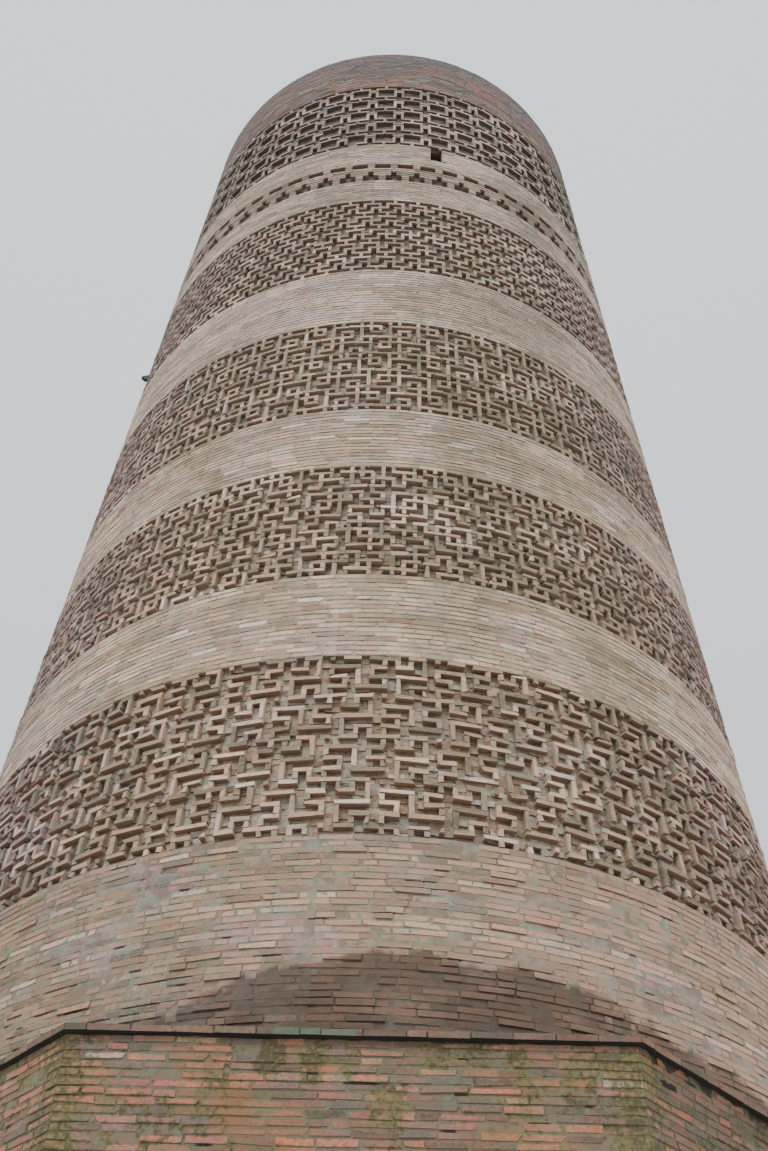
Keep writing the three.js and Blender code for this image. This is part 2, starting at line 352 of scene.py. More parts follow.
def worn_foot(random, azimuth, low, front):
    """Bricks of the damp foot that have weathered back or lost their joints."""
    damp = (low - DAMP_BASE) < damp_height(azimuth)
    n = len(azimuth)
    worn = damp & (random.random(n) < WORN_SHARE)
    proud = random.random(n) < np.where(damp, PROUD_SHARE_DAMP, PROUD_SHARE_DRY)
    front = np.where(worn, WORN_FRONT, front)
    return np.where(proud & ~worn, front + random.uniform(*PROUD_EXTRA, n), front)


# Patterned bands: # is a brick at the face and . is recessed ground, from the top row down.
# Uprights stand in the even columns and flat bricks lie in the rows between them.
BAND_1 = """
###.###.#.###.##
#.#.#.#.........
#.###.#.#####.##
......#.#...#.#.
#.#####.###.#.##
#.#.......#.#...
#.#.###.###.####
..#.#.#.#.......
"""
BAND_2 = """
#.#...#.#.#.#...
#.#####.#######.
#...#.#...#.#.#.
###.#####.#.####
#.#.#...#.#...#.
#.###.###.######
......#.......#.
#.#######.###.##
#.#...#.#.#.#...
#.#.#######.####
..#.#.#.#...#.#.
#######.#.#####.
#.#.#...#.#...#.
#.#######.###.##
....#.......#...
#.###.###.######
"""
BAND_3 = """
#.#...#.#...
###########.
#.....#.#.#.
#.###.#.###.
#.#.#.#.....
#####.######
#.#...#.#...
#########.##
#.#.....#.#.
#.#.###.#.##
..#.#.#.#...
###.########
"""
BAND_4 = """
#.....
###.##
..#.#.
#####.
#.#...
#.####
"""
BAND_5 = """
.....##.......
############..
##........####
##........####
##........##..
##........##..
############..
"""
FRIEZE = """
####..............####
####..............####
######################
######################
..##################..
..##################..
.......########.......
.......########.......
.......########.......
"""


def chart_grid(chart, rows, repeats, shift):
    lines = np.array([[mark == "#" for mark in line] for line in chart.split()])
    height, width = lines.shape
    columns = np.arange(width * repeats)
    return np.array([lines[r % height][(columns - shift * (r // height)) % width] for r in range(rows)])


def chart_runs(grid, narrow):
    """Splits a grid into flat runs, and uprights that grow down: each as (column, row, width, height)."""
    flat, uprights, growing = [], [], {}
    columns = grid.shape[1]
    for r, line in enumerate(grid):
        grown = {}
        if line.all():
            flat.append((0, r, columns, 1))
            growing = grown
            continue
        starts = np.flatnonzero(line & ~np.roll(line, 1))
        ends = np.flatnonzero(line & ~np.roll(line, -1))
        widths = (ends[np.searchsorted(ends, starts) % len(ends)] - starts) % columns + 1
        for key in zip(starts.tolist(), widths.tolist()):
            if key[1] > narrow:
                flat.append((key[0], r, key[1], 1))
            elif key in growing:
                grown[key] = growing[key]
                grown[key][3] += 1
            else:
                grown[key] = [key[0], r, key[1], 1]
                uprights.append(grown[key])
        growing = grown
    return np.array(flat), np.array(uprights)


def past_row(meets, at_edge, spare):
    """How far an upright runs past its own rows: nearly up to the flat brick that it meets."""
    if not meets:
        return -spare
    return -BAND_EDGE_GAP if at_edge else spare - UPRIGHT_GAP


def raised_bricks(node, finish, seed, rough, chart, rows, repeats, origin, spread, shift, narrow):
    """One patterned band. origin is where column 0 starts in the top row, in degrees from the front."""
    pile = Bricks(seed)
    bottom, top = heights(node)
    grid = chart_grid(chart, rows, repeats, shift)
    columns = grid.shape[1]
    step = 2 * math.pi / columns
    pitch = (top - bottom) / rows
    r = face_radius((bottom + top) / 2)
    cell = step * r
    height = RAISED_BRICK_HEIGHT
    inset = max((cell * narrow - height) / 2, 0.002) / r
    spare = (pitch - height) / 2
    flat, uprights = chart_runs(grid, narrow)
    first = math.radians(origin)

    pieces = []
    for column, row, width, _ in flat:
        length = width * cell
        parts = max(1, math.ceil(length / LONGEST_FLAT))
        share = np.arange(parts + 1) / parts
        edges = first + column * step + inset + share * (width * step - 2 * inset)
        gap = 0.5 * JOINT / r if parts > 1 else 0
        middle = top - (row + 0.5) * pitch
        for a, b in zip(edges[:-1], edges[1:]):
            pieces.append((a + gap / 2, b - gap / 2, middle - height / 2, middle + height / 2))
    for column, row, width, span in uprights:
        a = first + column * step + inset
        b = first + (column + width) * step - inset
        under = row + span
        above = row == 0 or grid[row - 1, column]
        below = under == rows or grid[under, column]
        high = top - row * pitch + past_row(above, row == 0, spare)
        low = top - under * pitch - past_row(below, under == rows, spare)
        parts = max(1, math.ceil((high - low) / LONGEST_UPRIGHT))
        levels = np.linspace(low, high, parts + 1)
        for lo, hi in zip(levels[:-1], levels[1:]):
            pieces.append((a, b, lo + 0.001, hi - 0.001))
    a, b, lo, hi = np.array(pieces).T
    n = len(a)
    random = pile.random
    tone = random.random(n)
    front = random.normal(-0.004, 0.003 * rough, n) - 0.007 * rough * np.clip(1 - tone / 0.2, 0, 1)
    broken = random.random(n) < BROKEN_SHARE * rough
    front = np.where(broken, front - random.uniform(*BROKEN_BACK, n), front)
    lo = lo + random.normal(0, 0.0012 * rough, n)
    hi = hi + random.normal(0, 0.0018 * rough, n)
    fresh = restored(np.random.default_rng(seed + 50), a * r, lo, 0.45)
    pile.lay(on_spread_shaft(spread), (a, b), (lo, hi), (-RELIEF_DEPTH - RAISED_BED, front), metre=1 / r,
             wobble=0.003 * rough, ripple=0.002 * rough, yaw=0.003 * rough, chipped=0.25 * rough,
             chip_depth=0.25, fresh=fresh, tone=tone)
    pile.build("raised_bricks_" + node, finish)


def ground_bricks(node, finish, seed, rough):
    """The rough backing of small pieces and mortar that shows between the raised bricks."""
    pile = Bricks(seed)
    bottom, top = heights(node)
    pitch = course_pitch(bottom, top)
    for i in range(round((top - bottom) / pitch)):
        low = bottom + (i + 0.03) * pitch
        r = face_radius(low) - RELIEF_DEPTH
        start, end = course(pile.random, 2 * math.pi * r, GROUND_BRICK, GROUND_JOINT) / r
        turn = pile.random.uniform(0, SHIFT)
        front = pile.random.normal(0.004 + 0.003 * rough - RELIEF_DEPTH, 0.006 * rough, len(start))
        pile.lay(on_shaft, (start + turn, end + turn), (low, low + 0.95 * pitch),
                 (-RELIEF_DEPTH - GROUND_BED, front), metre=1 / r, wobble=0.003, ripple=0.005 * rough,
                 yaw=0.004 * rough)
    pile.build("ground_bricks_" + node, finish)


# Plinth: its corner bricks run past the corner and are cut by the mitre, a few bricks have sunk, and one
# is lost right of the front side, this far along it and this high
CORNER_LAP = 0.05
MITRE_GAP = 0.001
PLINTH_PROUD = 0.0045
SUNK_SHARE = 0.03
SUNK_FRONT = -0.003
MISSING_BRICK = (-1.476, 5.66)
MISSING_FRONT = -0.02


def plinth_bricks(side, finish):
    """One side of the plinth, with every second course starting with a shorter brick."""
    pile = Bricks(300 + side)
    wall = on_plinth(side)
    half = PLINTH_APOTHEM * HALF_SIDE
    pitch = course_pitch(0, COPING_UNDERSIDE)
    door = SIDES[side] == "back"
    for i in range(round(COPING_UNDERSIDE / pitch)):
        low = i * pitch + (pitch - PLINTH_BRICK_HEIGHT) / 2
        a, b = course(pile.random, 2 * half, first=0.5 if i % 2 else 1.0) - half
        a[0], b[-1] = -half - CORNER_LAP, half + CORNER_LAP
        if door:
            a, b = beside_door(a, b, low + PLINTH_BRICK_HEIGHT / 2)
        n = len(a)
        front = np.maximum(pile.random.normal(PLINTH_PROUD, 0.002, n), 0.002)
        front = np.where(pile.random.random(n) < SUNK_SHARE, SUNK_FRONT, front)
        if SIDES[side] == "front_right":
            gone = (a < MISSING_BRICK[0]) & (b > MISSING_BRICK[0]) & (abs(low - MISSING_BRICK[1]) < pitch / 2)
            front[gone] = MISSING_FRONT
        lift = pile.random.normal(0, BED_SPREAD, n)
        crest = low + lift + PLINTH_BRICK_HEIGHT + pile.random.normal(0, 0.003, n)
        fresh = restored(np.random.default_rng(side), (a + b) / 2, low, 0.2)
        pile.lay(wall, (a, b), (low + lift, crest), (-BRICK_BED, front), wobble=0.0035, ripple=0.0006,
                 yaw=0.0006, chipped=0.35, chip_depth=0.03, fresh=fresh)
    pile.build("plinth_bricks_" + SIDES[side], finish)


# Entrance: a pointed head of two arcs that meet at the crown
CROWN_COVER = 0.06
DOOR_RISE = DOOR_HEAD - DOOR_SPRING - CROWN_COVER
ARC_RADIUS = (DOOR_HALF ** 2 + DOOR_RISE ** 2) / (2 * DOOR_HALF)
ARC_SWEEP = math.asin(DOOR_RISE / ARC_RADIUS)
ARCH_BRICK = 0.245
JAMB_GAP = 0.004


def beside_door(a, b, height):
    """Cuts a course back from the opening, and from the arch bricks round its head."""
    rise = height - DOOR_SPRING
    outer = ARC_RADIUS + ARCH_BRICK + JOINT
    reach = DOOR_HALF + JAMB_GAP
    if rise >= 0:
        reach = math.sqrt(max(0.0, outer ** 2 - rise ** 2)) - (ARC_RADIUS - DOOR_HALF)
    if reach <= 0:
        return a, b
    left = a < -reach
    right = b > reach
    starts = np.concatenate([a[left], np.maximum(a[right], reach)])
    ends = np.concatenate([np.minimum(b[left], -reach), b[right]])
    keep = ends - starts > 0.03
    return starts[keep], ends[keep]


def on_door_arc(hand):
    """Round the arch: along is the angle up from the springing, up is the depth into the wall."""
    def wall(along, depth, out):
        reach = ARC_RADIUS - out
        x = hand * (reach * np.cos(along) - (ARC_RADIUS - DOOR_HALF))
        return np.stack([x, PLINTH_APOTHEM - depth, DOOR_SPRING + reach * np.sin(along)], -1)

    return wall


def on_jamb(hand):
    def wall(depth, up, out):
        return np.stack([hand * (DOOR_HALF - out) + 0 * up, PLINTH_APOTHEM - depth, up], -1)

    return wall


def flipped(pile, first):
    """Turns the faces round of what was laid mirrored."""
    for corners in pile.corners[first:]:
        corners[:] = corners[:, [4, 5, 6, 7, 0, 1, 2, 3]]


def entrance_bricks(finish):
    pile = Bricks(400)
    depth = PLINTH_APOTHEM - WELL_RADIUS
    rows = round(depth / (BRICK_LENGTH + JOINT))
    lines = np.linspace(0, depth, rows + 1)
    outermost = np.arange(rows) == 0
    near = np.where(outermost, -0.012, lines[:-1] + JAMB_GAP)
    bed = np.where(outermost, -ARCH_BRICK, -THIN_BED)
    angles = np.linspace(0, ARC_SWEEP, round(ARC_RADIUS * ARC_SWEEP / COURSE) + 1)
    gap = 0.4 * JOINT / ARC_RADIUS
    courses = round(DOOR_SPRING / COURSE)
    pitch = DOOR_SPRING / courses
    for hand in (-1, 1):
        first = len(pile.corners)
        for a, b in zip(angles[:-1], angles[1:]):
            pile.lay(on_door_arc(hand), (np.full(rows, a + gap), np.full(rows, b - gap)),
                     (near, lines[1:] - JAMB_GAP), (bed, 0.006), metre=1 / ARC_RADIUS)
        if hand < 0:
            flipped(pile, first)
        first = len(pile.corners)
        for i in range(courses):
            a, b = course(pile.random, depth, joint=2 * JAMB_GAP)
            a[0] = -0.008
            low = i * pitch + 0.005
            pile.lay(on_jamb(hand), (a, b), (low, low + BRICK_HEIGHT), (-0.05, 0.005))
        if hand > 0:
            flipped(pile, first)
    pile.build("entrance_bricks", finish)


# Coping: a projecting course, with rows of paving behind it up to the shaft's foot
COPING_BRICK = 0.041
COPING_JOINT = 0.005
COPING_ROWS = 5
ROW_DEPTH = 0.125
PAVING_BED = 0.03


def coping_bricks(finish):
    pile = Bricks(420)
    nose = COPING_APOTHEM - PLINTH_APOTHEM + 0.004
    for side in range(8):
        wall = on_plinth(side)
        for row in range(COPING_ROWS):
            front = nose - row * ROW_DEPTH
            apothem = PLINTH_APOTHEM + front
            half = apothem * HALF_SIDE
            a, b = course(pile.random, 2 * half, joint=COPING_JOINT, first=0.5 + 0.5 * (row % 2)) - half
            a[0], b[-1] = -half - CORNER_LAP, half + CORNER_LAP
            nearest = np.where(a * b < 0, 0, np.minimum(abs(a), abs(b)))
            clear = np.hypot(nearest, apothem - ROW_DEPTH) > face_radius(PLINTH_TOP) - 0.05
            if row == 0:
                clear[:] = True
            a, b = a[clear], b[clear]
            n = len(a)
            low = PLINTH_TOP - (COPING_BRICK if row == 0 else PAVING_BED)
            face = front + abs(pile.random.normal(0, 0.0025, n))
            crest = PLINTH_TOP + pile.random.normal(0.003, 0.0015, n)
            pile.lay(wall, (a, b), (np.full(n, low), crest), (front - ROW_DEPTH + 0.01, face), yaw=0.0008)
    pile.build("coping_bricks", finish)


# Crown: the rim's inner face and top, and the platform's paving with the hatch left free
RIM_BRICK = 0.25
HATCH_X = 0.45
HATCH_Y = 0.65
TILE = 0.262
TILE_GAP = 0.005


def rim_bricks(finish):
    pile = Bricks(440)
    outer = face_radius(RIM_TOP)
    inner = RIM_INNER
    courses = round((RIM_TOP - DECK_TOP) / COURSE)
    pitch = (RIM_TOP - DECK_TOP) / courses
    for i in range(courses):
        low = DECK_TOP + i * pitch + 0.004
        start, end = course(pile.random, 2 * math.pi * inner) / inner
        face = pile.random.normal(0.006, 0.002, len(start))
        pile.lay(on_inner_ring(inner), (start, end), (low, low + BRICK_HEIGHT), (-THIN_BED, face),
                 metre=1 / inner)
    thickness = outer - inner
    rows = ((-0.001, thickness / 2 - 0.005), (thickness / 2 + 0.005, thickness + 0.004))
    for row, (near, far) in enumerate(rows):
        r = outer - near
        start, end = course(pile.random, 2 * math.pi * r, RIM_BRICK, JOINT * r / outer) / r + 0.03 * row
        n = len(start)
        reach = pile.random.normal(near, 0.001, n)
        pile.lay(on_ring_top(outer, RIM_TOP), (start, end), (reach, np.full(n, far)),
                 (-0.04, pile.random.normal(0.004, 0.0012, n)), metre=1 / outer, wobble=0.0008)
    pile.build("rim_bricks", finish)


def platform_paving(finish):
    pile = Bricks(460)
    reach = RIM_INNER - 0.02
    count = int(reach / TILE)
    steps = np.arange(-count - 1, count + 1) * TILE
    xs, ys = np.meshgrid(steps, steps)
    xs = (xs + (np.round(ys / TILE) % 2) * TILE / 2).ravel()
    ys = ys.ravel()
    near = np.hypot(np.abs(xs + TILE / 2) + TILE / 2, np.abs(ys + TILE / 2) + TILE / 2) < reach
    beside = (xs + TILE < -HATCH_X) | (xs > HATCH_X) | (ys + TILE < -HATCH_Y) | (ys > HATCH_Y)
    xs, ys = xs[near & beside], ys[near & beside]
    n = len(xs)
    pile.lay(on_floor(DECK_TOP), (xs + TILE_GAP, xs + TILE - TILE_GAP), (ys + TILE_GAP, ys + TILE - TILE_GAP),
             (np.full(n, -PAVING_BED), pile.random.normal(0.005, 0.002, n)))
    pile.build("platform_paving", finish)


# Shader sums: a socket that takes part in Python expressions

class Wire:
    def __init__(self, board, socket):
        self.board = board
        self.socket = socket

    def maths(self, operation, *others):
        values = dict(enumerate((self, *others)))
        return self.board.node("ShaderNodeMath", {"operation": operation}, values)

    def __add__(self, other):
        return self.maths("ADD", other)

    def __sub__(self, other):
        return self.maths("SUBTRACT", other)

    def __rsub__(self, other):
        return self.board.node("ShaderNodeMath", {"operation": "SUBTRACT"}, {0: other, 1: self})

    def __mul__(self, other):
        return self.maths("MULTIPLY", other)

    def __abs__(self):
        return self.maths("ABSOLUTE")

    __radd__ = __add__
    __rmul__ = __mul__

    def step(self, low, high):
        """0 below low and 1 above high, or the other way round, with a smooth rise."""
        return self.board.node("ShaderNodeMapRange", {"interpolation_type": "SMOOTHSTEP"},
                               {"Value": self, "From Min": low, "From Max": high})


class Board:
    """The node tree of a material or a world."""

    def __init__(self, owner, place="Object"):
        self.owner = owner
        self.owner.use_nodes = True
        self.tree = self.owner.node_tree
        self.tree.nodes.clear()
        self.place = self.node("ShaderNodeTexCoord", output=place)
        self.x, self.y, self.z = (self.part(self.place, k) for k in range(3))
        self.azimuth = self.x.maths("ARCTAN2", self.y * -1)

    def node(self, kind, settings=None, values=None, output=0):
        made = self.tree.nodes.new(kind)
        for key, value in (settings or {}).items():
            if key == "stops":
                while len(made.color_ramp.elements) < len(value):
                    made.color_ramp.elements.new(0.5)
                for element, (position, *colour) in zip(made.color_ramp.elements, value):
                    element.position = position
                    element.color = (*colour, 1)
            else:
                setattr(made, key, value)
        for key, value in (values or {}).items():
            socket = made.inputs[key]
            if isinstance(value, Wire):
                self.tree.links.new(value.socket, socket)
            elif isinstance(value, tuple) and len(socket.default_value) == 4:
                socket.default_value = (*value, 1)
            else:
                socket.default_value = value
        return None if output is None else Wire(self, made.outputs[output])

    def part(self, vector, index):
        """The x, y or z of a vector."""
        return self.node("ShaderNodeSeparateXYZ", None, {0: vector}, output=index)

    def mark(self, name):
        return self.node("ShaderNodeAttribute", {"attribute_name": name}, output="Fac")

    def noise(self, scale, detail=3.0, stretch=(1.0, 1.0, 1.0), shift=0.0):
        where = self.node("ShaderNodeMapping", None,
                          {"Vector": self.place, "Scale": stretch, "Location": (shift, shift, shift)})
        return self.node("ShaderNodeTexNoise", None, {"Vector": where, "Scale": scale, "Detail": detail})

    def mix(self, under, over, mask, blend="MIX"):
        return self.node("ShaderNodeMix", {"data_type": "RGBA", "blend_type": blend},
                         {0: mask, 6: under, 7: over}, output=2)

    def tint(self, colour, first, second, mask, amount=1.0):
        """The colour times a tint between the first and the second."""
        return self.mix(colour, self.mix(first, second, mask), amount, "MULTIPLY")

    def shade(self, colour, amount):
        return self.node("ShaderNodeVectorMath", {"operation": "SCALE"}, {0: colour, "Scale": amount})

    def finish(self, colour, roughness, height=None, distance=0.002, metallic=0.0):
        values = {"Base Color": colour, "Roughness": roughness, "Metallic": metallic}
        if height is not None:
            values["Normal"] = self.node("ShaderNodeBump", None, {"Height": height, "Distance": distance})
        shader = self.node("ShaderNodeBsdfPrincipled", None, values)
        self.node("ShaderNodeOutputMaterial", None, {"Surface": shader}, output=None)
        return self.owner


# Colours, linear, and rows of tones as position, red, green and blue
SHAFT_TONES = [(0.0, 0.28, 0.195, 0.14), (0.2, 0.39, 0.295, 0.225), (0.55, 0.49, 0.39, 0.305),
               (0.8, 0.61, 0.43, 0.33), (0.93, 0.69, 0.55, 0.455), (1.0, 0.82, 0.71, 0.62)]
FOOT_TONES = [(0.0, 0.16, 0.12, 0.085), (0.2, 0.25, 0.182, 0.132), (0.5, 0.33, 0.23, 0.17),
              (0.8, 0.44, 0.268, 0.195), (0.93, 0.45, 0.315, 0.24), (1.0, 0.69, 0.52, 0.41)]
RAISED_TONES = [(0.0, 0.17, 0.14, 0.09), (0.25, 0.25, 0.2, 0.14), (0.5, 0.36, 0.27, 0.2),
                (0.8, 0.52, 0.345, 0.255), (0.95, 0.58, 0.45, 0.355), (1.0, 0.72, 0.61, 0.5)]
RAISED_TOP_TONES = [(0.0, 0.18, 0.15, 0.115), (0.4, 0.28, 0.225, 0.185), (0.8, 0.37, 0.3, 0.25),
                    (1.0, 0.46, 0.39, 0.34)]
GROUND_TONES = [(0.0, 0.21, 0.155, 0.112), (0.3, 0.31, 0.235, 0.178), (0.6, 0.365, 0.318, 0.265),
                (0.85, 0.42, 0.385, 0.335), (1.0, 0.55, 0.49, 0.43)]
BROWN_GROUND_TONES = [(0.0, 0.13, 0.09, 0.065), (0.6, 0.2, 0.15, 0.12), (1.0, 0.31, 0.25, 0.205)]
# Painted shade: the dark ground deep in the frieze's slots
SLOT_SHADE_TONES = [(0.0, 0.1, 0.07, 0.055), (1.0, 0.18, 0.14, 0.115)]
TOP_TONES = [(0.0, 0.06, 0.048, 0.047), (0.3, 0.145, 0.116, 0.116), (0.65, 0.225, 0.168, 0.168),
             (0.85, 0.31, 0.183, 0.15), (1.0, 0.37, 0.33, 0.32)]
PLINTH_TONES = [(0.0, 0.11, 0.08, 0.06), (0.25, 0.18, 0.118, 0.09), (0.5, 0.245, 0.137, 0.103),
                (0.75, 0.34, 0.148, 0.102), (0.93, 0.42, 0.175, 0.122), (0.98, 0.34, 0.21, 0.16),
                (1.0, 0.46, 0.33, 0.27)]
COPING_TONES = [(0.0, 0.045, 0.042, 0.03), (0.25, 0.085, 0.064, 0.05), (0.6, 0.15, 0.085, 0.064),
                (1.0, 0.2, 0.12, 0.095)]
NEW_BRICK = (0.74, 0.585, 0.49)
NEW_FOOT_BRICK = (0.6, 0.405, 0.32)
NEW_PLINTH_BRICK = (0.42, 0.22, 0.15)
NEW_TOP_BRICK = (0.37, 0.16, 0.11)
SHAFT_MORTAR = (0.42, 0.38, 0.3)
FOOT_MORTAR = (0.27, 0.262, 0.215)
GROUND_MORTAR = (0.35, 0.335, 0.28)
TOP_MORTAR = (0.17, 0.15, 0.13)
PLINTH_MORTAR = (0.17, 0.165, 0.112)
COPING_MORTAR = (0.09, 0.085, 0.06)
STAINED_MORTAR = (0.2, 0.13, 0.09)
PIT = (0.05, 0.034, 0.024)
# Down-facing faces are mixed towards these browns: partly the cleaner brick there, partly painted shade
UNDERSIDE_SHADE = (0.18, 0.103, 0.07)
PALE_UNDERSIDE_SHADE = (0.25, 0.175, 0.133)
TOP_UNDERSIDE_SHADE = (0.12, 0.09, 0.075)
WHITE = (1.0, 1.0, 1.0)
GREEN_TINT = (0.82, 1.0, 0.92)
WARM_TINT = (1.2, 0.96, 0.95)
OCHRE_TINT = (1.02, 1.0, 0.86)
COOL_TINT = (0.97, 1.0, 1.12)
LOW_TINT = (1.035, 0.99, 0.97)
# Painted bluish shade on the left flank
LEFT_SHADE_TINT = (0.92, 0.95, 0.99)
# Painted shade on both flanks
FLANK_SHADE_TINT = (0.83, 0.8, 0.91)
HIGH_TINT = (0.965, 1.0, 1.055)
DUST = (0.44, 0.375, 0.305)
DAMP_TINT = (0.3, 0.265, 0.245)
DAMP_BROWN = (0.125, 0.09, 0.074)
MOSS = (0.06, 0.058, 0.024)
MOSS_PALE = (0.175, 0.16, 0.062)
RUST = (0.27, 0.125, 0.055)
SOOT = (0.14, 0.152, 0.17)
LICHEN = (0.17, 0.15, 0.085)
COPPER_GREEN = (0.11, 0.15, 0.105)
SHADOW_GAP = (0.012, 0.009, 0.006)
ROSE = (0.5, 0.285, 0.21)
METAL = (0.018, 0.04, 0.045)
WORN_METAL = (0.05, 0.08, 0.085)
FLOOR_GREY = (0.62, 0.61, 0.59)
FLOOR_PALE = (0.68, 0.67, 0.65)

# Where the looks change on the tower: heights and depths in metres, and azimuths in radians from the front.
# A pair is where a change starts and where it is complete, and ENDS count from the azimuth beside them
AGED_HEIGHTS = (9.0, 19.0)
LEFT_FLANK, LEFT_FLANK_BACK, LEFT_FLANK_HEIGHTS = (-0.4, -1.0), (-2.8, -1.6), (14.0, 9.0)
FLANK, FLANK_BACK = (0.3, 0.95), (1.9, 1.1)
# Where the extra olive growth, partly painted shade, is strongest, and the heights where it comes in
LICHEN_SHADE_AZIMUTH, LICHEN_SHADE_HEIGHTS = 0.6, (7.0, 11.0)
ROSY_AZIMUTH = 0.75
OPEN_JOINT_HEIGHTS = (6.7, 6.3)
RAGGED_AZIMUTH, RAGGED_ENDS = math.radians(34), (math.radians(12), math.radians(9))
# Azimuths of the plinth's right sides, which get painted shade
SHADED_SIDES, SHADED_SIDES_BACK = (EIGHTH * 0.5, EIGHTH * 0.55), (EIGHTH * 3.5, EIGHTH * 3.45)
COPPER_AZIMUTH, COPPER_ENDS = math.radians(-3.1), (math.radians(3.5), math.radians(3.2))
SOOT_HEIGHTS = (RIM_TOP - 1.0, RIM_TOP + 0.1)
# Depths behind the face where the painted shade inside begins and is complete
INSIDE_SHADE_DEPTHS = (0.07, 0.11)

# Growth and stains on each side of the plinth: degrees from the side's middle, half width in degrees,
# first and last depth under the coping in metres, and strength
MOSS_PATCHES = [(-6.5, 0.9, -0.1, 0.24, 1.1), (-3.0, 1.0, -0.1, 0.34, 1.1), (0.0, 0.6, -0.1, 0.32, 1.0),
                (-11.0, 1.3, 0.2, 0.7, 0.5), (3.2, 1.4, 0.26, 0.62, 1.1), (9.3, 3.4, -0.1, 0.18, 0.7),
                (13.7, 0.8, 0.03, 0.55, 0.9), (18.1, 1.1, -0.1, 0.5, 0.6), (-15.5, 1.6, 0.35, 0.7, 0.45)]
RUST_PATCHES = [(-9.4, 1.5, 0.3, 0.75, 0.8), (1.5, 1.8, 0.45, 0.8, 0.5), (12.0, 2.2, 0.5, 0.9, 0.4)]


def facing_up(board):
    """The upward part of a face's normal: 1 on top, 0 on a wall and -1 underneath."""
    return board.part(board.node("ShaderNodeNewGeometry", output="Normal"), 2)


def downward(board):
    """How much a face looks down."""
    return facing_up(board).step(-0.3, -0.8)


def damp_foot(board, colour):
    """The dark foot of the shaft, kept wet by the coping under it."""
    swing = (board.azimuth * 4.0 - 4 * DAMP_PEAK).maths("COSINE") * DAMP_SWING + DAMP_MEAN - 0.04
    edge = swing + (board.noise(2.6, 6.0) - 0.5) * 0.36 + (board.mark("tone") - 0.5) * 0.08
    mask = (edge - board.z + DAMP_BASE).step(-0.04, 0.04)
    deep = board.noise(2.4, 5.0, shift=4.0).step(0.3, 0.55)
    wet = board.mix(board.mix(colour, DAMP_TINT, 0.97, "MULTIPLY"), DAMP_BROWN, 0.3)
    return board.mix(colour, wet, mask * (0.76 + 0.24 * deep))


def shaded_open_joints(board, colour, bottom, pitch, share):
    """Stretches of joint that have lost their mortar, painted with the dark shade inside them: where the
    joint's own noise is over share.
    """
    courses = (board.z - bottom) * (1 / pitch)
    joint = courses.maths("ROUND")
    near = abs(courses - joint).step(0.2, 0.13)
    where = board.node("ShaderNodeCombineXYZ", None, {0: board.azimuth * 11.0, 1: joint * 5.7})
    lost = board.node("ShaderNodeTexNoise", None, {"Vector": where, "Scale": 1.0, "Detail": 2.0})
    return board.mix(colour, SHADOW_GAP, (lost - share).step(0.0, 0.03) * near * 0.9)


def shaded_open_foot_joints(board, colour):
    share = 0.64 - board.z.step(*OPEN_JOINT_HEIGHTS) * 0.09
    return shaded_open_joints(board, colour, PLINTH_TOP, course_pitch(PLINTH_TOP, FOOT_TOP), share)


def shaded_open_plinth_joints(board, colour):
    return shaded_open_joints(board, colour, 0.0, course_pitch(0, COPING_UNDERSIDE), 0.63)


def rosy_and_shaded(board, colour):
    """Redder brickwork right of the front, and painted shade that darkens the brickwork left of the front and
    round the back.
    """
    side = (board.azimuth - ROSY_AZIMUTH).maths("COSINE")
    mask = (side + board.noise(0.9, 3.0, shift=7.0) * 1.2).step(1.0, 1.8)
    colour = board.shade(colour, 0.88 + 0.12 * side.step(0.3, 0.8))
    return board.mix(colour, ROSE, mask * 0.5)


def stained(board, colour):
    """Mortar reddened by brick dust, in blotches."""
    blotch = board.noise(6.0, 4.0, shift=11.0).step(0.38, 0.62)
    return board.mix(colour, STAINED_MORTAR, blotch * 0.75)


def hanging_patches(board, side_azimuth, below, edge, patches):
    """Strength of growth or stain in patches with ragged edges."""
    total = 0.0
    for azimuth, half_width, first, last, strength in patches:
        aside = abs(side_azimuth - math.radians(azimuth)) + edge * 0.035
        across = aside.step(math.radians(half_width * 1.5), math.radians(half_width * 0.6))
        depth = below + edge * 0.22
        down = depth.step(last * 1.15, last * 0.7) * depth.step(first - 0.04, first + 0.06)
        total = across * down * strength + total
    return total


def moss(board, colour):
    """Moss down the plinth's corners, in patches under the coping and in thin streaks, and rusty stains.
    It grows on the joints first, and over the bricks where it is thick."""
    side_azimuth = board.azimuth.maths("WRAP", EIGHTH / 2, -EIGHTH / 2)
    below = COPING_UNDERSIDE - board.z
    fine = board.noise(24.0, 5.0)
    edge = board.noise(7.0, 4.0, shift=3.0) - 0.5
    rust = hanging_patches(board, side_azimuth, below, edge, RUST_PATCHES)
    colour = board.mix(colour, RUST, (rust + (fine - 0.5) * 0.6).step(0.2, 0.9) * 0.6)
    corner = abs(side_azimuth) - EIGHTH / 2
    amount = (corner + edge * 0.06).step(-0.07, -0.01) * 1.05
    amount = amount + hanging_patches(board, side_azimuth, below, edge, MOSS_PATCHES)
    streaks = board.noise(2.0, 5.0, (3.2, 3.2, 0.6), 3.0).step(0.44, 0.66)
    amount = amount + streaks * 0.4 + (fine - 0.5) * 3.4 - edge_distance(board).step(0.0, 0.012) * 0.3
    mask = amount.step(0.2, 0.85)
    green = board.mix(MOSS, MOSS_PALE, (board.noise(40.0, 4.0, shift=1.0) + edge * 0.6).step(0.38, 0.68))
    return board.mix(colour, green, mask * 0.8)


